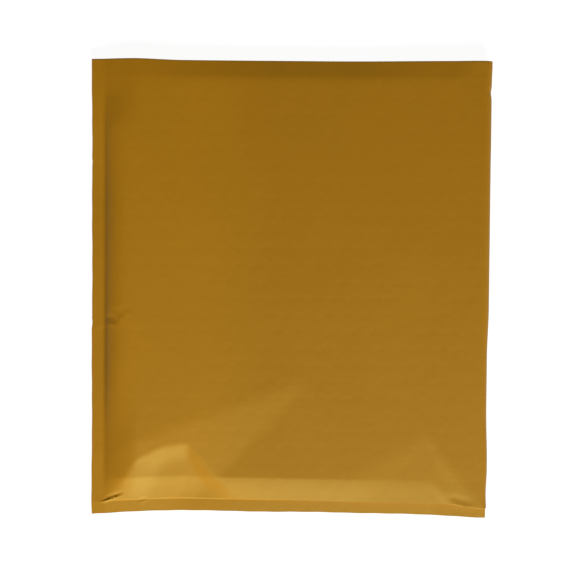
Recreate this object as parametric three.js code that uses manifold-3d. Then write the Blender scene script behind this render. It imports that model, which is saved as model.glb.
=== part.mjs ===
// A padded mailing envelope, empty and new, lying on its back with its flap folded under it.
//
// It is made from one web of brown paper lined with air-bubble film. The web is folded along
// the right side, sealed flat along the left side and the bottom, and open at the top, where
// the front panel runs on as a flap. The flap is creased over the open end and lies against
// the back panel. Its inner face carries a strip of glue under a peel-off release strip.
//
// Units are millimetres. The origin is the centre of the underside, +X runs across the width
// towards the folded side, +Y towards the flap's crease, and +Z up through the front panel.

import * as THREE from "three";
import { mergeVertices } from "three/addons/utils/BufferGeometryUtils.js";
import Module from "manifold-3d";

const wasm = await Module();
wasm.setup();

// ---- Driving dimensions ----

const width = 240;
const height = 275;
const paper = 0.12; // thickness of the brown paper
const sideSeam = 8; // width of the flat sealed band on the left
const bottomSeam = 7.5; // width of the flat sealed band at the bottom
const seamThick = 0.8; // two papers with the crushed film between them
const seamLevel = 3.9; // height of the seams' middle plane over the underside
const bottomBow = 2; // how far the padding pulls the bottom edge in at its middle
const bowEnd = -60; // the y where that pull has faded out

const frontAtBottom = 10.8; // height of the front panel where it leaves the bottom slope
const frontAtTop = 8.2; // and where it turns down to the crease
const creaseDrop = 2.4; // how far the front panel falls from there to the crease
const sideSlope = 7.5; // run of the slope from the side seam up to the padding
const bottomSlope = 16; // run of the slope from the bottom seam up to the padding
const foldReach = 7; // how far the rounded right fold reaches into the panels

const flapLength = 50;
const flapTaper = 4; // how much narrower the flap's free edge is, on each side
const flapRecess = 0.95; // how far the padding gives way to the flap and its strips
const creaseRadius = 0.35;
const lipBack = 4.5; // from the crease to the cut edge of the back panel
const linerBack = 8.5; // from the crease to the top edge of the bubble film
const shoulderBack = 13.5; // from the crease to where the front panel starts to fall to it
const touchBack = 13; // from the crease to where the flap reaches the surface it lies on
const liftBack = 17.5; // from the crease to where the back panel starts to rise to its lip
const lipLevel = 3.85; // height of the back panel at its lip
const recessRun = 12; // run of the step in the back panel below the flap's free edge

const filmGap = 0.1; // air between the paper and the film
const padShare = 0.42; // share of the inner thickness that each layer of film takes
const foldWall = 1; // thickness of the film where it turns round the fold
const pocketEdge = 3; // how far the film is sealed to itself inside the seams

const glueStrip = { length: 226, width: 15, thick: 0.1, fromEdge: 5 };
const releaseStrip = { length: 230, width: 20, thick: 0.08, fromEdge: 2.5 };
const stripGap = 0.05;

// ---- Places worked out from them ----

const left = -width / 2;
const right = width / 2;
const bottom = -height / 2;
const crease = height / 2;
const bandInner = left + sideSeam;
const seamTop = bottom + bottomSeam;
const padLeft = bandInner + sideSlope;
const padBottom = seamTop + bottomSlope;
const foldStart = right - foldReach;
const lip = crease - lipBack;
const linerTop = crease - linerBack;
const flapEdge = crease - flapLength;
const shoulder = crease - shoulderBack;
const flapTouch = crease - touchBack;
const liftStart = crease - liftBack;

const clamp01 = (t) => Math.min(1, Math.max(0, t));
const ease = (t) => THREE.MathUtils.smoothstep(t, 0, 1);
const mix = THREE.MathUtils.lerp;

// ---- The envelope's surfaces, as heights over x and y ----

// Height of the front panel over its flat part: one plane that falls towards the top, then the
// turn down to the crease.
function frontLevel(y) {
  const plane = mix(frontAtBottom, frontAtTop, (y - padBottom) / (shoulder - padBottom));
  return plane - creaseDrop * ease((y - shoulder) / (crease - shoulder));
}

// Height of the back panel: on the surface below the flap, lifted over the flap and its strips,
// and rising inside the crease to the lip.
function backLevel(y) {
  const lifted = flapRecess * ease((y - flapEdge + recessRun) / recessRun);
  const rise = clamp01((y - liftStart) / (lip - liftStart));
  return lifted + (lipLevel - flapRecess) * rise * rise;
}

// 0 on the sealed bands, 1 where the padding has its full thickness.
const loft = (x, y) => ease((x - bandInner) / sideSlope) * ease((y - seamTop) / bottomSlope);

// Half the seam's thickness plus the padding's, above and below the seam's middle plane.
const aboveSeam = (x, y) =>
  seamThick / 2 + loft(x, y) * (frontLevel(y) - seamLevel - seamThick / 2);
const belowSeam = (x, y) =>
  seamThick / 2 + loft(x, y) * (seamLevel - seamThick / 2 - backLevel(y));

// The bottom edge is drawn in at its middle, and the pull fades out up the panel.
const drawnIn = (x, y) =>
  y + bottomBow * (1 - (x / right) ** 2) * clamp01((y - bowEnd) / (bottom - bowEnd));

// ---- Grid lines ----

const steps = (from, to, count) =>
  Array.from({ length: count }, (_, i) => mix(from, to, (i + 1) / count));

// A column is a place across the width. On the panels it is plain x. Round the fold it is an
// angle, so that every layer of the fold turns on the same centre line.
const foldAngles = steps(0, Math.PI / 2, 6);
const allColumns = [bandInner, ...steps(bandInner, padLeft, 4), ...steps(padLeft, foldStart, 6)];
const allRows = [
  seamTop,
  ...steps(seamTop, padBottom, 5),
  bowEnd,
  flapEdge - recessRun,
  ...steps(flapEdge - recessRun, flapEdge, 3),
  liftStart,
  shoulder,
  ...steps(shoulder, linerTop, 2),
  ...steps(linerTop, lip, 2),
];
const apart = 0.5; // grid lines closer than this to a solid's own edge are left out
const columnsFrom = (from) => [from, ...allColumns.filter((x) => x > from + apart)];
const rowsBetween = (from, to) => [
  from,
  ...allRows.filter((y) => y > from + apart && y < to - apart),
  to,
];

// Where a column stands on a layer that lies inset under the paper's outer face.
function columnAt(columns, i, inset) {
  if (i < columns.length) return { x: columns[i], round: 1 };
  const angle = foldAngles[i - columns.length];
  return {
    x: foldStart + (foldReach - inset) * Math.sin(angle),
    round: Math.cos(angle),
  };
}

// ---- Solids ----

// A sheet or block with a grid of columns and rows on its two faces. It starts as a box, and
// place(i, j, face) says where each grid point goes, with face 1 on top and 0 underneath.
function bentBox(columnCount, rowCount, place) {
  const box = new THREE.BoxGeometry(1, 1, 1, columnCount, rowCount, 1);
  box.deleteAttribute("normal");
  box.deleteAttribute("uv");
  const shared = mergeVertices(box);
  const position = shared.getAttribute("position");
  for (let k = 0; k < position.count; k++) {
    const i = Math.round((position.getX(k) + 0.5) * columnCount);
    const j = Math.round((position.getY(k) + 0.5) * rowCount);
    position.setXYZ(k, ...place(i, j, position.getZ(k) > 0 ? 1 : 0));
  }
  const mesh = new wasm.Mesh({
    numProp: 3,
    vertProperties: position.array,
    triVerts: new Uint32Array(shared.index.array),
  });
  return new wasm.Manifold(mesh);
}

// The pillow between the front and back panels, inset under their outer faces. share narrows it
// towards its own middle surface, which leaves room for the film on both sides. A cutter runs
// straight on past its open end.
function pillow({ fromX, fromY, toY, inset, share = 1, runOn = 0 }) {
  const columns = columnsFrom(fromX);
  const rows = rowsBetween(fromY, toY);
  const places = runOn ? [...rows, toY + runOn] : rows;
  return bentBox(columns.length - 1 + foldAngles.length, places.length - 1, (i, j, face) => {
    const { x, round } = columnAt(columns, i, inset);
    const y = Math.min(places[j], toY);
    const up = aboveSeam(x, y) - inset;
    const down = belowSeam(x, y) - inset;
    const middle = (up - down) / 2;
    const half = ((up + down) / 2) * share;
    const z = seamLevel + round * (face ? middle + half : middle - half);
    return [x, drawnIn(x, places[j]), z];
  });
}

// The flap: it carries on from the front panel's edge over the lip, turns round the crease and
// runs back under the back panel.
function flap() {
  const columns = columnsFrom(left);
  const creaseAngles = [75, 35, 0, -35, -68].map(THREE.MathUtils.degToRad);

  // The outer face at one column, as points of y and z from the lip to the free edge.
  const outline = (frontHeight) => {
    const level = (frontHeight + seamLevel) / 2;
    const arc = creaseAngles.map((a) => [
      crease - creaseRadius + creaseRadius * Math.cos(a),
      level + creaseRadius * Math.sin(a),
    ]);
    const landing = [flapTouch + 1, flapTouch - 1].map((y, i) => [y, i ? 0 : 0.2]);
    return [[lip, frontHeight], ...arc, ...landing, [flapEdge, 0]];
  };

  // A point of the outline moved in through the paper, square to the outline there.
  const inner = (points, j) => {
    if (j === 0) return [points[0][0], points[0][1] - paper];
    const before = points[j - 1];
    const after = points[Math.min(j + 1, points.length - 1)];
    const along = new THREE.Vector2(after[0] - before[0], after[1] - before[1]).normalize();
    const here = points[j];
    return [here[0] + along.y * paper, here[1] - along.x * paper];
  };

  const rowCount = outline(0).length - 1;
  return bentBox(columns.length - 1 + foldAngles.length, rowCount, (i, j, face) => {
    const outer = columnAt(columns, i, 0);
    const frontHeight = seamLevel + outer.round * aboveSeam(outer.x, lip);
    const points = outline(frontHeight);
    const [y, z] = face ? points[j] : inner(points, j);
    const { x, round } = face ? outer : columnAt(columns, i, paper);
    const atLip = seamLevel + round * (aboveSeam(outer.x, lip) - paper);
    const narrowed = 1 - (flapTaper / right) * clamp01((flapTouch - y) / (flapTouch - flapEdge));
    return [x * narrowed, y, j === 0 && !face ? atLip : z];
  });
}

function paperEnvelope() {
  const outside = pillow({ fromX: left, fromY: bottom, toY: lip, inset: 0 });
  const inside = pillow({ fromX: bandInner, fromY: seamTop, toY: lip, inset: paper, runOn: 1 });
  return outside.subtract(inside).add(flap());
}

// Both layers of the film in one: they are joined round the fold and sealed at the seams.
function bubbleLiner() {
  const inset = paper + filmGap;
  const outside = pillow({
    fromX: bandInner + filmGap,
    fromY: seamTop + filmGap,
    toY: linerTop,
    inset,
  });
  const pocket = pillow({
    fromX: bandInner + pocketEdge,
    fromY: seamTop + pocketEdge,
    toY: linerTop,
    inset: inset + foldWall,
    share: 1 - 2 * padShare,
    runOn: 1,
  });
  return outside.subtract(pocket);
}

// A flat strip on the flap's inner face. under is the height of what it lies on.
function strip({ length, width, thick, fromEdge }, under) {
  const box = new THREE.BoxGeometry(length, width, thick);
  return box.translate(0, flapEdge + fromEdge + width / 2, under + stripGap + thick / 2);
}

// ---- The part ----

function geometryOf(solid) {
  const { numProp, vertProperties, triVerts } = solid.getMesh();
  const geometry = new THREE.BufferGeometry();
  const packed = new THREE.InterleavedBuffer(vertProperties, numProp);
  geometry.setAttribute("position", new THREE.InterleavedBufferAttribute(packed, 3, 0));
  geometry.setIndex(new THREE.BufferAttribute(triVerts, 1));
  geometry.computeVertexNormals();
  return geometry;
}

function named(name, geometry, color, roughness) {
  const material = new THREE.MeshStandardMaterial({ color, roughness, metalness: 0 });
  const mesh = new THREE.Mesh(geometry, material);
  mesh.name = name;
  return mesh;
}

const envelope = new THREE.Group();
envelope.add(
  named("paper_envelope", geometryOf(paperEnvelope()), 0xa06e1b, 0.6),
  named("bubble_liner", geometryOf(bubbleLiner()), 0xdfe6ea, 0.3),
  named("adhesive_strip", strip(glueStrip, paper), 0xe8dfc0, 0.35),
  named("release_strip", strip(releaseStrip, paper + stripGap + glueStrip.thick), 0xf4f2ec, 0.45),
);

export default envelope;
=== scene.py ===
import math

import bpy
import numpy as np
from mathutils import Matrix, Vector


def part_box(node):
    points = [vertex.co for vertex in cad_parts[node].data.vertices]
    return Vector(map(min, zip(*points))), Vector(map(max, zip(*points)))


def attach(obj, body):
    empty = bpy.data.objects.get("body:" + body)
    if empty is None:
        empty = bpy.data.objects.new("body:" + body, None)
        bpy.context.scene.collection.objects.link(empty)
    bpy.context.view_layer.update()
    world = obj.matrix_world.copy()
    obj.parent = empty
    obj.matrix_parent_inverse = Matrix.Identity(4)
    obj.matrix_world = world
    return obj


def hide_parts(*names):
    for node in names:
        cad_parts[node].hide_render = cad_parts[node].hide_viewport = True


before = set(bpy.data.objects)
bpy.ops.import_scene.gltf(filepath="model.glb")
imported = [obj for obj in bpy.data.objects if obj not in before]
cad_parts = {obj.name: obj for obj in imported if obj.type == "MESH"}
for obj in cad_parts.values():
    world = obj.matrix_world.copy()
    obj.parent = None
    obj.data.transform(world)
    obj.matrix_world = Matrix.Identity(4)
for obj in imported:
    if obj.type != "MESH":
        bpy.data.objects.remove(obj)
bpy.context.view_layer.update()  # the envelope lies on its back, address side up, flap folded under it

mm = 0.001
paperLow, paperHigh = [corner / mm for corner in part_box("paper_envelope")]
left, bottom, flapCrease, right = paperLow.x, paperLow.y, paperHigh.y, paperHigh.x

# angles in degrees: lean is towards the flap's crease, side towards the fold, roll anticlockwise
camera = {
    "lens": 60,
    "distance": 0.5845,
    "lean": 1.56,
    "side": -0.12,
    "roll": 0.455,
    "aim": (-0.0013, 0.0009),
}


def addCamera():
    lean, side, roll = [math.radians(camera[name]) for name in ("lean", "side", "roll")]
    away = Vector((math.sin(side), math.sin(lean), 0))
    away.z = math.sqrt(1 - away.length_squared)
    data = bpy.data.cameras.new("camera")
    data.lens = camera["lens"]
    holder = bpy.data.objects.new("camera", data)
    bpy.context.collection.objects.link(holder)
    holder.location = Vector((*camera["aim"], 0)) + away * camera["distance"]
    forward = -away
    across = forward.cross(Vector((0, 1, 0))).normalized()
    upward = across.cross(forward)
    levelX = across * math.cos(roll) + upward * math.sin(roll)
    levelY = upward * math.cos(roll) - across * math.sin(roll)
    turn = np.array([levelX, levelY, -forward]).T
    holder.rotation_mode = "QUATERNION"
    holder.rotation_quaternion = Matrix(turn.tolist()).to_quaternion()
    bpy.context.scene.camera = holder


# angles in degrees, sizes in metres, power in watts; bearing 0 stands on the bottom side of the
# envelope and turns towards its folded side
lamps = {
    "key": {
        "elevation": 33,
        "bearing": 13,
        "distance": 2.1,
        "size": 0.8,
        "power": 85.5,
        "tint": (1.0, 0.985, 0.95),
    },
    "fill": {
        "elevation": 35,
        "bearing": 165,
        "distance": 2.0,
        "size": 1.5,
        "power": 2,
        "tint": (1.0, 0.99, 0.97),
    },
}
studioGlow = 0.04


def addAreaLight(name, lamp):
    up, turn = math.radians(lamp["elevation"]), math.radians(lamp["bearing"])
    data = bpy.data.lights.new(name, "AREA")
    data.shape = "DISK"
    data.size, data.energy, data.color = lamp["size"], lamp["power"], lamp["tint"]
    holder = bpy.data.objects.new(name, data)
    bpy.context.collection.objects.link(holder)
    place = Vector((math.sin(turn) * math.cos(up), -math.cos(turn) * math.cos(up), math.sin(up)))
    holder.location = place * lamp["distance"]
    holder.rotation_mode = "QUATERNION"
    holder.rotation_quaternion = (-place).to_track_quat("-Z", "Y")


def addStudio():
    for name, lamp in lamps.items():
        addAreaLight(name, lamp)
    world = bpy.data.worlds.new("studio")
    world.use_nodes = True
    world.node_tree.nodes["Background"].inputs["Color"].default_value = (1, 1, 1, 1)
    world.node_tree.nodes["Background"].inputs["Strength"].default_value = studioGlow
    bpy.context.scene.world = world
    bpy.context.scene.view_settings.view_transform = "Standard"


# ramp and convexRise go from 0 to 1, bell is 1 in its middle, softMin and softMax round the join
def ramp(value, start, end):
    t = np.clip((value - start) / (end - start), 0, 1)
    return t * t * (3 - 2 * t)


def convexRise(distance, run, power):
    return 1 - (1 - np.clip(distance / run, 0, 1)) ** power


def bell(value, middle, width):
    return np.exp(-(((value - middle) / width) ** 2))


def softMin(a, b, blend):
    h = np.clip(0.5 + 0.5 * (b - a) / blend, 0, 1)
    return b * (1 - h) + a * h - blend * h * (1 - h)


def softMax(a, b, blend):
    return -softMin(-a, -b, blend)


def rightOf(x, y, start, end):
    # distance from the line start-end, positive on its right-hand side
    along = (np.array(end) - start) / math.dist(start, end)
    return (x - start[0]) * along[1] - (y - start[1]) * along[0]


def alongLine(x, y, start, end):
    along = (np.array(end) - start) / math.dist(start, end)
    return (x - start[0]) * along[0] + (y - start[1]) * along[1]


def graded(*stretches):
    # stations from (start, end, spacing) stretches, each end shared with the next start
    stations = [stretches[0][0]]
    for start, end, spacing in stretches:
        count = max(1, round((end - start) / spacing))
        stations += [start + (end - start) * (k + 1) / count for k in range(count)]
    return np.array(stations)


def gridPiece(name, places):
    # a flat grid whose points are then set to places[row, column], in millimetres
    rows, columns = places.shape[:2]
    bpy.ops.object.select_all(action="DESELECT")
    bpy.ops.mesh.primitive_grid_add(x_subdivisions=columns - 1, y_subdivisions=rows - 1, size=1)
    piece = bpy.context.object
    piece.name = piece.data.name = name
    flat = np.empty(len(piece.data.vertices) * 3)
    piece.data.vertices.foreach_get("co", flat)
    flat = flat.reshape(-1, 3)
    i = np.rint((flat[:, 0] + 0.5) * (columns - 1)).astype(int)
    j = np.rint((flat[:, 1] + 0.5) * (rows - 1)).astype(int)
    piece.data.vertices.foreach_set("co", (places[j, i] * mm).ravel())
    piece.data.update()
    return piece


def thicken(piece, thick, side):
    bpy.context.view_layer.objects.active = piece
    wall = piece.modifiers.new("thickness", "SOLIDIFY")
    wall.thickness = thick * mm
    wall.offset = side
    bpy.ops.object.modifier_apply(modifier="thickness")


def joinPieces(pieces):
    bpy.ops.object.select_all(action="DESELECT")
    for piece in pieces:
        piece.select_set(True)
    bpy.context.view_layer.objects.active = pieces[0]
    bpy.ops.object.join()
    return pieces[0]


def newMaterial(name):
    material = bpy.data.materials.new(name)
    material.use_nodes = True
    return material, material.node_tree, material.node_tree.nodes["Principled BSDF"]


def linked(tree, node, value, slot=0):
    # sets an input to a number, a colour or another node's output
    if isinstance(value, bpy.types.NodeSocket):
        tree.links.new(value, node.inputs[slot])
    else:
        node.inputs[slot].default_value = value


def maths(tree, operation, *values):
    node = tree.nodes.new("ShaderNodeMath")
    node.operation = operation
    for k, value in enumerate(values):
        linked(tree, node, value, k)
    return node.outputs[0]


def ranged(tree, value, fromLow, fromHigh, toLow, toHigh, kind="SMOOTHSTEP"):
    node = tree.nodes.new("ShaderNodeMapRange")
    node.interpolation_type = kind
    for k, item in enumerate((value, fromLow, fromHigh, toLow, toHigh)):
        linked(tree, node, item, k)
    return node.outputs[0]


def inMillimetres(tree, stretch=(1, 1, 1)):
    place = tree.nodes.new("ShaderNodeTexCoord")
    mapping = tree.nodes.new("ShaderNodeMapping")
    mapping.inputs["Scale"].default_value = [k / mm for k in stretch]
    tree.links.new(place.outputs["Object"], mapping.inputs["Vector"])
    return mapping.outputs[0]


def noise(tree, vector, scale, detail=3.0, roughness=0.55):
    node = tree.nodes.new("ShaderNodeTexNoise")
    tree.links.new(vector, node.inputs["Vector"])
    node.inputs["Scale"].default_value = scale
    node.inputs["Detail"].default_value = detail
    node.inputs["Roughness"].default_value = roughness
    return node.outputs["Fac"]


def bumpOf(tree, height, millimetres, under=None):
    bump = tree.nodes.new("ShaderNodeBump")
    bump.inputs["Distance"].default_value = millimetres * mm
    tree.links.new(height, bump.inputs["Height"])
    if under is not None:
        tree.links.new(under, bump.inputs["Normal"])
    return bump.outputs[0]


def scaledColour(tree, colour, tone):
    shade = tree.nodes.new("ShaderNodeVectorMath")
    shade.operation = "SCALE"
    shade.inputs[0].default_value = colour
    tree.links.new(tone, shade.inputs["Scale"])
    return shade.outputs[0]


def varied(tree, value, share, average=1.0):
    # goes up and down round the average by a share, as a noise does round a half
    return maths(tree, "MULTIPLY_ADD", maths(tree, "SUBTRACT", value, 0.5), 2 * share, average)


def finishPiece(piece, material, node):
    piece.data.materials.clear()
    piece.data.materials.append(material)
    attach(piece, "root")
    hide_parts(node)


# the paper envelope, in millimetres: v is the height up the flat sheet, and y is where the padding
# draws it to; a pair named Over says from where to where something builds up
envelope = {
    "paper": 0.12,
    "sideSeam": 8.0,
    "bottomSeam": 7.5,
    "seamLevel": 4.3,  # front face of the seams where they meet the padding
    "seamGap": 0.24,  # crushed film between the two papers of a seam
    "seamLiftAtTop": 2.1,
    "topLiftOver": (50.0, 134.0),
    "seamLiftAtFold": 2.8,  # the end of the bottom seam that meets the fold
    "foldLiftOver": (88.0, 122.0),
    "seamDipAtFold": 1.4,  # and there its inner edge dips
    "foldDipOver": (96.0, 114.0),
    "seamSag": 2.6,  # the bottom seam hangs lower below the corner dent
    "sagMiddle": -70.0,
    "sagWidth": 26.0,
    "footOver": (-85.0, -125.0),  # the lift at the fold and the sag are the bottom seam's own
    "sideDroop": 0.75,  # how far the seams' outer edges hang lower
    "bottomDroop": 0.42,
    "frontAtBottom": 11.6,
    "frontAtTop": 9.6,
    "topFall": 0.14,  # slope of the bare strip above the film, and how far back it begins
    "topFallBack": 10.5,
    "topFallOver": ((-115.0, -35.0), (90.0, 40.0), (113.0, 95.0)),
    "topFallRound": 3.5,
    "filmStep": 0.08,
    "filmStepOver": (-1.6, 1.4),
    "sideRise": (21.0, 4.2),  # reach of the slope beside the seam and how quickly it rounds off
    "cornerRise": (21.0, 1.6),  # the same near the two ends of that seam
    "cornersOver": ((-40.0, -100.0), (95.0, 122.0)),
    "bottomRise": (15.0, 1.2),
    "wallRise": (0.7, 1.4),
    "backSideRise": (11.0, 2.2),
    "backBottomRise": (14.0, 1.7),
    "bow": 2.3,  # how far the padding pulls the bottom edge in, most at bowMiddle
    "bowMiddle": -40.0,
    "bowEnd": -60.0,
    "bowRound": 2.5,
    "creaseBow": 0.8,  # and the flap's crease, from where to where right of the seam
    "creaseBowFrom": (25.0, 55.0),
    "creaseBowMiddle": 20.0,
    "footWaves": ((0.1, 9.0, 0.0), (0.06, 2.7, 1.0)),  # (height, length, start) along the cut edges
    "sideWaves": ((0.12, 14.0, 1.0), (0.06, 3.3, 0.0)),
    "sideNicks": ((-21.0, 0.4), (76.0, 0.25)),  # (place, depth)
    "nickWidth": 1.6,
    "foldReach": 5.0,
    "foldWaist": (0.8, (10, 40), (105, 70)),  # depth, and where below the middle it comes and goes
    "foldNick": (0.5, 119.0, 2.5),  # depth, place and width
    "foldTuck": (0.7, (108, 126)),
    "creaseRadius": 0.45,
    "lipBack": 4.5,
    "lipLevel": 4.0,
    "lipRun": 17.5,
    "filmEdgeBack": 8.8,
    "flapLength": 50.0,
    "flapTaper": 4.0,
    "flapRecess": 0.95,
    "recessRun": 12.0,
    "flapTouchBack": 13.0,
    "flapSettles": 2.1,  # how quickly it comes down to where it lies flat
    "colour": (0.302, 0.1265, 0.001),
    "roughness": (0.59, 0.66),  # lowest and highest
    "gloss": 0.5,
    "glossTint": (0.62, 1.0, 0.4, 1),
    "grain": 0.05,  # share by which fibres and clouds change the colour
    "clouds": 0.05,
    # painted light: the paper's colour is raised by this share on the seam side and fades back over the next
    # x span, standing in for brighter light there
    "paintedLightSeamSide": 0.09,
    "paintedLightFades": (-60, 0),
    "fleck": (0.07, 0.028, 0.006, 1),
    "fleckSize": 0.034,
    "fleckCover": 0.6,
    "printEdge": (3.2, 5.6),  # where a bubble's print fades, from its middle
    "relief": {"print": 0.02, "waves": 0.12, "grain": 0.012, "fibres": 0.006},
}
bandInner = left + envelope["sideSeam"]
seamTop = bottom + envelope["bottomSeam"]
foldStart = right - envelope["foldReach"]
lip = flapCrease - envelope["lipBack"]
filmEdge = flapCrease - envelope["filmEdgeBack"]
flapEdge = flapCrease - envelope["flapLength"]
flapTouch = flapCrease - envelope["flapTouchBack"]

# where the padding gives way: lines are ((x, y), (x, y)), falls are slopes, shares and spreads are
# ratios, and the rest is lengths
cornerDent = {
    "facets": [  # an upper edge, the depth at that edge and the fall on its right
        ((-107.0, -127.6), (-92.0, -102.3), 0, 0.21),
        ((-93.0, -103.6), (-76.0, -94.8), 0, 0.26),
        ((-84.0, -95.2), (-60.0, -93.0), 0, 0.25),
        ((-61.5, -92.4), (-43.5, -114.0), 0, 0.38),
        ((-100.0, -90.5), (-30.0, -90.5), 0.8, 0.15),
        ((-100.0, -103.0), (-30.0, -103.0), 2.4, 0.085),
    ],
    "deepest": 3.8,
    "ridgeRound": 0.6,
    "rimRound": 0.35,
}
sags = [  # a lobe beside the dent and the hip of the full corner, which widen along their lines
    {"line": ((-70.0, -84.0), (14.0, -54.0)), "grows": -1, "spread": 0.5, "fall": 0.07},
    {"line": ((79.0, -82.0), (111.0, -126.0)), "grows": 1, "spread": 0.24, "fall": 0.15},
]
sagSoft = {"edge": 3.0, "tip": 8.0, "begins": (-6.0, 16.0)}
# the wall above the bottom seam grows steeper from x = from to x = to, and is steepest past the line
fullCorner = {
    "line": ((92.7, -127.3), (83.4, -116.3)),
    "reach": 5.0,
    "from": -65.0,
    "to": 55.0,
    "share": 0.77,
    "least": 0.2,
}
pinches = [  # small creases, each a groove along its line
    {"line": ((-117.5, -21.0), (-98.0, -16.5)), "depth": 0.9, "width": 0.9},
    {"line": ((-108.0, -15.6), (-93.0, -11.0)), "depth": 0.3, "width": 1.3},
    {"line": ((-113.5, -128.6), (-99.5, -123.4)), "depth": 1.1, "width": 0.8},
    {"line": ((-90.5, -129.0), (-84.0, -126.4)), "depth": 0.5, "width": 0.8},
    {"line": ((97.0, -124.2), (113.0, -127.8)), "depth": 0.24, "width": 2.2},
]


def waver(place, waves, lift=0):
    # a sum of (height, length, start) waves, none of them below 0 if lift is 1
    return sum(height * (lift + np.sin(place / length + start)) for height, length, start in waves)


def drawnIn(x, v):
    # the padding pulls in the bottom edge and the flap's crease, and the bottom edge wavers
    middle = envelope["bowMiddle"]
    reach = np.where(x < middle, middle - left, right - middle)
    foot = envelope["bow"] * (1 - np.abs((x - middle) / reach) ** envelope["bowRound"])
    fromSeam = ramp(x - left, *envelope["creaseBowFrom"])
    head = envelope["creaseBow"] * fromSeam * ramp(x, right, envelope["creaseBowMiddle"])
    low = np.clip((v - envelope["bowEnd"]) / (bottom - envelope["bowEnd"]), 0, 1)
    high = np.clip((v - flapEdge) / (flapCrease - flapEdge), 0, 1)
    cutEdge = np.clip(2 * low - 1, 0, 1) ** 6
    return v + foot * low + waver(x, envelope["footWaves"]) * cutEdge - head * high


def strayed(x, v):
    # the cut edge on the sealed side wavers inwards and has two nicks
    inwards = waver(v, envelope["sideWaves"], lift=1)
    for place, depth in envelope["sideNicks"]:
        inwards = inwards + depth * bell(v, place, envelope["nickWidth"])
    return x + inwards * np.clip(1 - (x - left) / envelope["sideSeam"], 0, 1) ** 2


def seamEdge(x):
    # inner edge of the bottom seam, which dips beside the fold
    return seamTop - envelope["seamDipAtFold"] * ramp(x, *envelope["foldDipOver"])


def band(x, v):
    # front face of the sealed bands, which droop outwards
    side = envelope["sideDroop"] * np.clip((bandInner - x) / envelope["sideSeam"], 0, 1)
    foot = envelope["bottomDroop"] * np.clip((seamTop - v) / envelope["bottomSeam"], 0, 1)
    lift = envelope["seamLiftAtFold"] * ramp(x, *envelope["foldLiftOver"])
    lift = lift - envelope["seamSag"] * bell(x, envelope["sagMiddle"], envelope["sagWidth"])
    lift = lift * ramp(v, *envelope["footOver"])
    liftAtTop = envelope["seamLiftAtTop"] * ramp(v, *envelope["topLiftOver"])
    return envelope["seamLevel"] + liftAtTop + lift - side - foot


def pinchDepth(x, y, pinch, spread):
    # a groove that throws up a ridge on its right, but only in the paper, whose spread is 1
    start, end = pinch["line"]
    fade, length = 2.0, math.dist(start, end)
    ridgeHeight, ridgePlace = 0.5, 1.5  # in depths and widths of the groove
    along = alongLine(x, y, start, end)
    inside = ramp(along, -fade, fade) * (1 - ramp(along, length - 3 * fade, length))
    away = rightOf(x, y, start, end) / pinch["width"] / spread
    ridge = ridgeHeight * bell(away, ridgePlace, 1) if spread == 1 else 0
    return pinch["depth"] * (bell(away, 0, 1) - ridge) * inside


def pinched(x, y, room, spread):
    # grooves are never deeper than the room below them, so the seams stay flat
    depth = sum(pinchDepth(x, y, pinch, spread) for pinch in pinches)
    groove = np.maximum(depth, 0)
    return groove * room / (groove + room + 0.001) + np.minimum(depth, 0)


def plateau(x, v):
    # the padded face before its slopes
    y = drawnIn(x, v)
    gain = envelope["frontAtTop"] - envelope["frontAtBottom"]
    top = envelope["frontAtBottom"] + gain * (v - seamTop) / (flapCrease - seamTop)
    # the film ends in a scalloped edge and the bare paper falls to the crease, least near the sides
    fromSeam, fromFold, insideFold = [ramp(x, *over) for over in envelope["topFallOver"]]
    middle = (0.2 + 0.8 * fromSeam) * (0.6 + 0.4 * fromFold) * insideFold
    scallop = film["scallops"] * np.cos(2 * math.pi * x / film["pitch"]) + waver(x, film["topWaves"])
    bare = softMax(v - flapCrease + envelope["topFallBack"], 0, envelope["topFallRound"])
    top = top - envelope["topFall"] * middle * bare
    step = envelope["filmStep"] * (0.3 + 0.7 * middle)
    top = top - step * ramp(v - filmEdge - scallop, *envelope["filmStepOver"])
    for sag in sags:
        along = alongLine(x, y, *sag["line"][::sag["grows"]])
        aside = softMax(rightOf(x, y, *sag["line"]), 0, sagSoft["edge"])
        width = sag["spread"] * softMax(along, 0, sagSoft["tip"])
        top = top - sag["fall"] * softMin(aside, width, sagSoft["edge"]) * ramp(along, *sagSoft["begins"])
    depth = cornerDent["deepest"]
    for start, end, step, fall in cornerDent["facets"]:
        depth = softMin(depth, step + fall * rightOf(x, y, start, end), cornerDent["ridgeRound"])
    return top - softMax(depth, 0, cornerDent["rimRound"])


def frontHeight(x, v, spread=1):
    # the paper's front face, or with a larger spread the film below it, whose pinches are wider
    y = drawnIn(x, v)
    base = band(x, v)
    nearFoot, nearTop = [ramp(v, *over) for over in envelope["cornersOver"]]
    side = convexRise(x - bandInner, *envelope["sideRise"])
    side = side + (convexRise(x - bandInner, *envelope["cornerRise"]) - side) * np.maximum(nearFoot, nearTop)
    along = (x - fullCorner["from"]) / (fullCorner["to"] - fullCorner["from"])
    full = fullCorner["share"] * np.clip(along, fullCorner["least"], 1)
    beyond = np.clip(rightOf(x, y, *fullCorner["line"]) / fullCorner["reach"], 0, 1)
    full = full + (1 - full) * beyond
    foot = convexRise(v - seamEdge(x), *envelope["bottomRise"])
    foot = foot + (convexRise(v - seamEdge(x), *envelope["wallRise"]) - foot) * full
    rise = (plateau(x, v) - base) * side * foot
    return base + rise - pinched(x, y, rise, spread)


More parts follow.
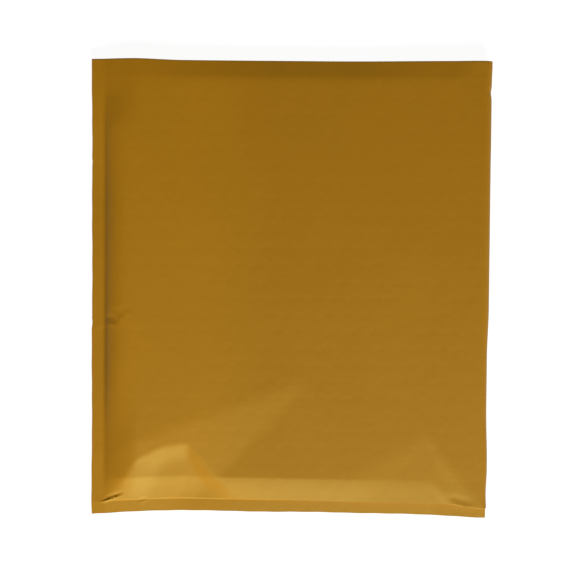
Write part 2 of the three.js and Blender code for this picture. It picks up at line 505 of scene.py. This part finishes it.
def backHeight(x, v):
    # the back lies flat, makes room for the flap and rises to the lip
    base = band(x, v) - 2 * envelope["paper"] - envelope["seamGap"]
    recess = envelope["flapRecess"]
    lifted = recess * ramp(v, flapEdge - envelope["recessRun"], flapEdge)
    rise = np.clip((v - (flapCrease - envelope["lipRun"])) / (lip - flapCrease + envelope["lipRun"]), 0, 1)
    flat = lifted + (envelope["lipLevel"] - recess) * rise ** 2
    side = convexRise(x - bandInner, *envelope["backSideRise"])
    foot = convexRise(v - seamEdge(x), *envelope["backBottomRise"])
    return base + (flat - base) * side * foot


def foldReach(v):
    # how far the fold stands out: less in its lower half, at one nick and at the bottom corner
    waist, waistFrom, waistTo = envelope["foldWaist"]
    nick, nickPlace, nickWidth = envelope["foldNick"]
    tuck, tuckFrom = envelope["foldTuck"]
    reach = envelope["foldReach"] - waist * ramp(-v, *waistFrom) * ramp(-v, *waistTo)
    return reach - nick * bell(v, nickPlace, nickWidth) - tuck * ramp(-v, *tuckFrom)


def envelopeWeb():
    # one web round the fold: front panel, fold and back panel, finer where the paper bends
    columns = graded((left, bandInner, 1.6), (bandInner, -88, 0.9), (-88, 100, 1.75), (100, foldStart, 1.6))
    backColumns = graded((left, bandInner, 2.7), (bandInner, -96, 1.6), (-96, foldStart, 4.0))[::-1]
    rows = graded(
        (bottom, -132, 1.4),
        (-132, -128.5, 0.25),
        (-128.5, -90, 0.9),
        (-90, 112, 2.1),
        (112, lip, 1.0),
    )
    x, v = np.meshgrid(columns, rows)
    front = np.stack([strayed(x, v), drawnIn(x, v), frontHeight(x, v)], axis=-1)
    x, v = np.meshgrid(backColumns, rows)
    back = np.stack([strayed(x, v), drawnIn(x, v), backHeight(x, v)], axis=-1)
    turnStep = 15
    turn, v = np.meshgrid(np.radians(np.arange(turnStep / 2, 180, turnStep)), rows)
    high = frontHeight(np.full_like(v, foldStart), v)
    low = backHeight(np.full_like(v, foldStart), v)
    x = foldStart + foldReach(v) * np.sin(turn)
    z = (high + low) / 2 + (high - low) / 2 * np.cos(turn)
    fold = np.stack([x, drawnIn(x, v), z], axis=-1)
    web = gridPiece("paper_sheet", np.concatenate([front, fold, back], axis=1))

    halfFold = fold[:, :fold.shape[1] // 2]
    flap = foldedFlap(np.concatenate([front, halfFold], axis=1)[-1])
    web = joinPieces([web, flap])
    bpy.ops.object.mode_set(mode="EDIT")
    bpy.ops.mesh.select_all(action="SELECT")
    bpy.ops.mesh.remove_doubles(threshold=0.01 * mm)
    bpy.ops.object.mode_set(mode="OBJECT")
    thicken(web, envelope["paper"], -1)
    bpy.ops.object.shade_smooth_by_angle(angle=math.radians(50))
    return web


def foldedFlap(start):
    # the flap runs on from the front panel's top row, round the crease and back underneath
    radius = envelope["creaseRadius"]
    startX, over = start[:, 0], start[:, 2]
    inside = np.minimum(startX, foldStart)

    def row(y, z, narrow=1):
        return np.stack([startX * narrow, np.full_like(over, y), z], axis=-1)

    def paperAt(y):
        return frontHeight(inside, np.full_like(over, y))

    path = [start]
    for y in np.linspace(lip, flapCrease - radius, 5)[1:-1]:
        path.append(row(y, over + paperAt(y) - paperAt(lip)))
    noseLevel = over + paperAt(flapCrease - radius) - paperAt(lip) - radius
    for angle in np.radians([85, 65, 45, 22, 0, -22, -45, -65]):
        y = flapCrease - radius + radius * math.cos(angle)
        path.append(row(y, noseLevel + radius * math.sin(angle)))
    endY, endZ = path[-1][0, 1], path[-1][:, 2]
    for share in np.linspace(0.1, 1, 10):
        path.append(row(endY + (flapTouch - endY) * share, endZ * (1 - share) ** envelope["flapSettles"]))
    for y in np.linspace(flapTouch, flapEdge, 9)[1:]:
        narrow = 1 - envelope["flapTaper"] / right * (flapTouch - y) / (flapTouch - flapEdge)
        path.append(row(y, np.zeros_like(over), narrow))
    path = np.array(path)
    path[1:, :, 1] = drawnIn(path[1:, :, 0], path[1:, :, 1])
    return gridPiece("flap", path)


def bubblePrint(tree):
    # soft dimples where the film's bubbles press on the paper: the nearest centre of two
    # square-cornered lattices that together make the staggered rows
    pitch, rise = film["pitch"], film["pitch"] * math.sqrt(3)
    spare = 100  # whole steps that keep the fractions positive
    place = tree.nodes.new("ShaderNodeSeparateXYZ")
    tree.links.new(inMillimetres(tree), place.inputs[0])
    nearest = []
    for shift in (0.0, 0.5):
        parts = []
        for axis, step in ((0, pitch), (1, rise)):
            steps = maths(tree, "MULTIPLY_ADD", place.outputs[axis], 1 / step, shift + spare)
            cell = maths(tree, "FRACT", steps)
            parts.append(maths(tree, "MULTIPLY", maths(tree, "SUBTRACT", cell, 0.5), step))
        square = maths(tree, "MULTIPLY_ADD", parts[1], parts[1], maths(tree, "MULTIPLY", parts[0], parts[0]))
        nearest.append(maths(tree, "SQRT", square))
    return ranged(tree, maths(tree, "MINIMUM", *nearest), *envelope["printEdge"], 1.0, 0.0)


def barkFlecks(tree):
    # 1 on a few dark flecks of bark about half a millimetre long, 0 elsewhere
    cells = tree.nodes.new("ShaderNodeTexVoronoi")
    tree.links.new(inMillimetres(tree, (1.0, 0.7, 1)), cells.inputs["Vector"])
    cells.inputs["Scale"].default_value = 0.085
    chosen = tree.nodes.new("ShaderNodeSeparateColor")
    tree.links.new(cells.outputs["Color"], chosen.inputs[0])
    size = ranged(tree, chosen.outputs[0], 0.5, 1.0, 0.0, envelope["fleckSize"], "LINEAR")
    return maths(tree, "LESS_THAN", cells.outputs["Distance"], size)


def brownPaper():
    material, tree, shader = newMaterial("brown_paper")
    flat = inMillimetres(tree)
    grain = noise(tree, inMillimetres(tree, (1.4, 0.35, 1)), scale=1.1, detail=5.0, roughness=0.62)
    fibres = noise(tree, inMillimetres(tree, (0.5, 3.0, 1)), scale=1.3)
    clouds = noise(tree, flat, scale=0.022, detail=4.0, roughness=0.6)
    tone = varied(tree, grain, envelope["grain"])
    tone = varied(tree, fibres, envelope["grain"] / 2, tone)
    tone = varied(tree, clouds, envelope["clouds"], tone)
    place = tree.nodes.new("ShaderNodeSeparateXYZ")
    tree.links.new(flat, place.inputs[0])
    # painted light: the colour is made lighter towards the seam side, fully left of x = -60 mm and fading to
    # none by x = 0
    paintedLight = ranged(tree, place.outputs[0], *envelope["paintedLightFades"], 1 + envelope["paintedLightSeamSide"], 1.0)
    tone = maths(tree, "MULTIPLY", tone, paintedLight)
    mix = tree.nodes.new("ShaderNodeMix")
    mix.data_type = "RGBA"
    tree.links.new(maths(tree, "MULTIPLY", barkFlecks(tree), envelope["fleckCover"]), mix.inputs["Factor"])
    tree.links.new(scaledColour(tree, envelope["colour"], tone), mix.inputs[6])
    mix.inputs[7].default_value = envelope["fleck"]
    tree.links.new(mix.outputs[2], shader.inputs["Base Color"])
    tree.links.new(ranged(tree, grain, 0.2, 0.8, *envelope["roughness"]), shader.inputs["Roughness"])
    shader.inputs["Specular IOR Level"].default_value = envelope["gloss"]
    shader.inputs["Specular Tint"].default_value = envelope["glossTint"]
    relief = envelope["relief"]
    normal = bumpOf(tree, bubblePrint(tree), relief["print"])
    normal = bumpOf(tree, noise(tree, flat, scale=0.09, detail=2.0), relief["waves"], normal)
    normal = bumpOf(tree, grain, relief["grain"], normal)
    tree.links.new(bumpOf(tree, fibres, relief["fibres"], normal), shader.inputs["Normal"])
    return material


# the bubble film, in millimetres: two layers between the papers, where a share of the inner height
# is 0 on the back paper and 1 on the front one
film = {
    "thick": 0.08,
    "pitch": 11.5,  # from bubble to bubble
    "scallops": 0.5,  # of the film's top edge, one to a bubble
    "topWaves": ((0.35, 7.3, 1.0),),  # and its slow wandering: (height, length, start)
    "bubble": 10.0,
    "sides": 12,
    "wall": 0.6,  # share of a bubble's height that stands straight
    "shoulders": ((0.455, 0.26), (1.3, 0.14)),  # then each ring's inset and share of the height
    "headroom": 0.015,  # share of the inner height left between bubbles and paper
    "sheet": 0.44,  # share of the inner height at which each layer's flat sheet lies
    "fold": 2.6,  # how far inside the paper the film turns round the fold
    "swell": 2.2,  # and how much it opens into the rounder space there
    "margin": 0.4,
    "lag": 1.2,  # how much later than the paper it rises from a seam
    "pinchSpread": 3,
    # middles of the outermost bubbles, from each side of the padding
    "bubblesFrom": {"seam": 7.5, "fold": 1.5, "bottom": 7.5, "top": 5.2},
    "colour": (0.9, 0.93, 0.95),
    "milky": 0.06,
    "roughness": (0.1, 0.24),
    "clearness": 0.85,
    "wrinkles": 0.05,
}


def innerHeight(x, v, share):
    # height at a share of the room between the two papers
    lag = np.clip(np.minimum(x - bandInner, v - seamEdge(x)), 0, film["lag"])
    under = backHeight(x, v) + envelope["paper"]
    over = frontHeight(x - lag, v - lag, film["pinchSpread"]) - envelope["paper"]
    return under + (over - under) * share


def filmSheet():
    # both flat layers and the film round the fold, in one web, finer where it bends
    columns = graded(
        (left + film["margin"], bandInner, 1.9),
        (bandInner, -92, 1.4),
        (-92, 92, 5.0),
        (92, foldStart, 1.6),
    )
    backColumns = columns[columns >= bandInner + film["margin"]][::-1]
    rows = graded(
        (bottom + film["margin"], seamTop, 1.7),
        (seamTop, -120, 0.9),
        (-120, -30, 5.0),
        (-30, -8, 1.1),
        (-8, 110, 7.0),
        (110, filmEdge, 2.6),
    )
    layers = []
    for stations, share in ((columns, 1 - film["sheet"]), (backColumns, film["sheet"])):
        x, v = np.meshgrid(stations, rows)
        layers.append(np.stack([x, drawnIn(x, v), innerHeight(x, v, share)], axis=-1))
    turn, v = np.meshgrid(np.radians(np.arange(15, 180, 15)), rows)
    high = innerHeight(np.full_like(v, foldStart), v, 1 - film["sheet"])
    low = innerHeight(np.full_like(v, foldStart), v, film["sheet"])
    x = foldStart + (envelope["foldReach"] - film["fold"]) * np.sin(turn)
    opening = 1 + film["swell"] * np.sin(turn) ** 2
    z = (high + low) / 2 + (high - low) / 2 * np.cos(turn) * opening
    fold = np.stack([x, drawnIn(x, v), z], axis=-1)
    sheet = gridPiece("film_sheet", np.concatenate([layers[0], fold, layers[1]], axis=1))
    thicken(sheet, film["thick"], 0)
    return sheet


def oneBubble():
    # a flat-topped dome, 1 high, whose foot stands on z = 0
    bpy.ops.object.select_all(action="DESELECT")
    wall = film["wall"]
    bpy.ops.mesh.primitive_cylinder_add(
        vertices=film["sides"], radius=film["bubble"] / 2, depth=wall, location=(0, 0, wall / 2)
    )
    bubble = bpy.context.object
    bpy.ops.object.transform_apply(location=True)
    bpy.ops.object.mode_set(mode="EDIT")
    bpy.ops.mesh.select_mode(type="FACE")
    bpy.ops.mesh.select_all(action="DESELECT")
    bpy.ops.object.mode_set(mode="OBJECT")
    for face in bubble.data.polygons:
        face.select = face.normal.z > 0.9
    bpy.ops.object.mode_set(mode="EDIT")
    for inset, lift in film["shoulders"]:
        bpy.ops.mesh.inset(thickness=inset)
        bpy.ops.transform.translate(value=(0, 0, lift))
    bpy.ops.object.mode_set(mode="OBJECT")
    return bubble


def bubbleRows(bubble):
    # staggered rows of copies on both layers, each as high as the room it has between the papers
    pitch, rise = film["pitch"], film["pitch"] * math.sqrt(3) / 2
    start, end = bandInner + film["bubblesFrom"]["seam"], foldStart - film["bubblesFrom"]["fold"]
    foot, head = seamTop + film["bubblesFrom"]["bottom"], filmEdge - film["bubblesFrom"]["top"]
    across, along = int((end - start) / pitch), int((head - foot) / rise)
    shape = np.array([point.co for point in bubble.data.vertices])
    faces = [list(face.vertices) for face in bubble.data.polygons]
    points, polygons = [], []
    for layer in (1, 0):
        for j in range(along + 1):
            for i in range(across + 1 - j % 2):
                place = shape + (start + pitch * (i + (j % 2) / 2), foot + rise * j, 0)
                first = len(points) * len(shape)
                points.append(np.concatenate([place, np.full((len(shape), 1), layer)], axis=1))
                order = faces if layer else [face[::-1] for face in faces]
                polygons += [[first + k for k in face] for face in order]
    x, v, lift, layer = np.concatenate(points).T
    share = 1 - film["sheet"] + (film["sheet"] - film["headroom"]) * np.clip(lift, 0, 1)
    z = innerHeight(x, v, np.where(layer > 0, share, 1 - share))
    mesh = bpy.data.meshes.new("bubbles")
    mesh.from_pydata(np.stack([x, drawnIn(x, v), z], axis=1) * mm, [], polygons)
    bubbles = bpy.data.objects.new("bubbles", mesh)
    bpy.context.collection.objects.link(bubbles)
    bpy.data.objects.remove(bubble)
    return bubbles


def bubbleLiner():
    liner = joinPieces([filmSheet(), bubbleRows(oneBubble())])
    liner.name = liner.data.name = "bubble_film"
    bpy.ops.object.shade_smooth_by_angle(angle=math.radians(40))
    return liner


def clearFilm():
    # blown film: slightly milky, with drawn-out streaks and fine wrinkles
    material, tree, shader = newMaterial("bubble_film")
    streaks = noise(tree, inMillimetres(tree, (0.9, 0.08, 0.9)), scale=0.5)
    wrinkles = noise(tree, inMillimetres(tree), scale=0.35, detail=4.0, roughness=0.6)
    milky = film["milky"]
    tone = maths(tree, "MULTIPLY", varied(tree, streaks, milky), varied(tree, wrinkles, milky / 2))
    tree.links.new(scaledColour(tree, film["colour"], tone), shader.inputs["Base Color"])
    tree.links.new(ranged(tree, streaks, 0.3, 0.7, *film["roughness"]), shader.inputs["Roughness"])
    shader.inputs["Transmission Weight"].default_value = film["clearness"]
    tree.links.new(bumpOf(tree, wrinkles, film["wrinkles"]), shader.inputs["Normal"])
    return material


# the strips lie on the inner face of the flap: fromEdge is from the flap's edge, and level is the
# height of a strip's lower face
glueLine = {
    "length": 226.0,
    "width": 15.0,
    "thick": 0.1,
    "fromEdge": 5.0,
    "level": 0.17,
    "ragged": 0.012,  # share by which its width goes up and down
    "colour": (0.78, 0.7, 0.44),
    "uneven": 0.08,
    "roughness": (0.14, 0.34),
    "clearness": 0.25,
    "strings": 0.03,
}
releaseStrip = {
    "length": 230.0,
    "width": 20.0,
    "thick": 0.08,
    "fromEdge": 2.5,
    "level": 0.32,
    "ragged": 0.0,
    "colour": (0.86, 0.85, 0.8),
    "uneven": 0.05,
    "roughness": (0.26, 0.4),
    "coat": 0.35,
    "coatRoughness": 0.2,
    "cockle": 0.04,
    "fibres": 0.004,
}
cutWaves = ((1.0, 5.1, 0.0), (0.6, 2.3, 1.0))  # of a ragged strip: (height, length, start)


def flapStrip(name, strip):
    half = strip["length"] / 2
    columns = graded((-half, half, 3.0))
    rows = flapEdge + strip["fromEdge"] + graded((0.0, strip["width"], 1.5))
    x, y = np.meshgrid(columns, rows)
    middle = flapEdge + strip["fromEdge"] + strip["width"] / 2
    y = middle + (y - middle) * (1 + strip["ragged"] * waver(x, cutWaves))
    piece = gridPiece(name, np.stack([x, y, np.full_like(x, strip["level"])], axis=-1))
    thicken(piece, strip["thick"], 1)
    bpy.ops.object.shade_smooth_by_angle(angle=math.radians(40))
    return piece


def hotMelt():
    # rolled-on glue: amber, thicker and thinner in strings along the strip
    material, tree, shader = newMaterial("glue")
    uneven = glueLine["uneven"]
    strings = noise(tree, inMillimetres(tree, (0.06, 1.6, 1.0)), scale=1.0, detail=4.0)
    clouds = noise(tree, inMillimetres(tree), scale=0.12)
    tone = maths(tree, "MULTIPLY", varied(tree, strings, uneven), varied(tree, clouds, uneven))
    tree.links.new(scaledColour(tree, glueLine["colour"], tone), shader.inputs["Base Color"])
    tree.links.new(ranged(tree, clouds, 0.3, 0.7, *glueLine["roughness"]), shader.inputs["Roughness"])
    shader.inputs["Transmission Weight"].default_value = glueLine["clearness"]
    tree.links.new(bumpOf(tree, strings, glueLine["strings"]), shader.inputs["Normal"])
    return material


def releasePaper():
    # smooth coated paper: faint clouds and fibres, slightly cockled
    material, tree, shader = newMaterial("release_paper")
    uneven = releaseStrip["uneven"]
    clouds = noise(tree, inMillimetres(tree), scale=0.3, detail=4.0, roughness=0.6)
    fibres = noise(tree, inMillimetres(tree, (0.4, 2.6, 1.0)), scale=1.2, detail=4.0)
    cockle = noise(tree, inMillimetres(tree, (0.25, 0.06, 1.0)), scale=0.6, detail=1.0)
    tone = maths(tree, "MULTIPLY", varied(tree, clouds, uneven), varied(tree, fibres, uneven))
    tree.links.new(scaledColour(tree, releaseStrip["colour"], tone), shader.inputs["Base Color"])
    tree.links.new(ranged(tree, clouds, 0.3, 0.7, *releaseStrip["roughness"]), shader.inputs["Roughness"])
    shader.inputs["Coat Weight"].default_value = releaseStrip["coat"]
    shader.inputs["Coat Roughness"].default_value = releaseStrip["coatRoughness"]
    normal = bumpOf(tree, cockle, releaseStrip["cockle"])
    tree.links.new(bumpOf(tree, fibres, releaseStrip["fibres"], normal), shader.inputs["Normal"])
    return material


studioFloor = {
    "size": 16,  # this and the next two are in metres
    "rim": 0.8,
    "below": 0.0003,
    "colour": (0.1, 0.1, 0.1),
    "glow": 0.95,
    "uneven": 0.04,
    "roughness": 0.9,
}


def addFloor():
    bpy.ops.object.select_all(action="DESELECT")
    bpy.ops.mesh.primitive_plane_add(size=studioFloor["size"], location=(0, 0, -studioFloor["below"]))
    floor = bpy.context.object
    floor.name = "floor"
    bpy.ops.object.mode_set(mode="EDIT")  # its far edges turn up, so that its horizon lies higher
    bpy.ops.mesh.select_mode(type="EDGE")
    bpy.ops.mesh.select_all(action="SELECT")
    bpy.ops.mesh.extrude_edges_move(TRANSFORM_OT_translate={"value": (0, 0, studioFloor["rim"])})
    bpy.ops.object.mode_set(mode="OBJECT")
    material, tree, shader = newMaterial("studio_floor")
    tone = varied(tree, noise(tree, inMillimetres(tree), scale=0.01), studioFloor["uneven"])
    tree.links.new(scaledColour(tree, studioFloor["colour"], tone), shader.inputs["Base Color"])
    shader.inputs["Roughness"].default_value = studioFloor["roughness"]
    shader.inputs["Emission Color"].default_value = (1, 1, 1, 1)
    shader.inputs["Emission Strength"].default_value = studioFloor["glow"]
    floor.data.materials.append(material)


addCamera()
addStudio()
addFloor()
print("camera, light and floor")

paper = envelopeWeb()
finishPiece(paper, brownPaper(), "paper_envelope")
print("paper envelope:", len(paper.data.polygons), "faces")

liner = bubbleLiner()
finishPiece(liner, clearFilm(), "bubble_liner")
print("bubble film:", len(liner.data.polygons), "faces")

finishPiece(flapStrip("glue_line", glueLine), hotMelt(), "adhesive_strip")
finishPiece(flapStrip("release_paper", releaseStrip), releasePaper(), "release_strip")
print("strips on the flap")
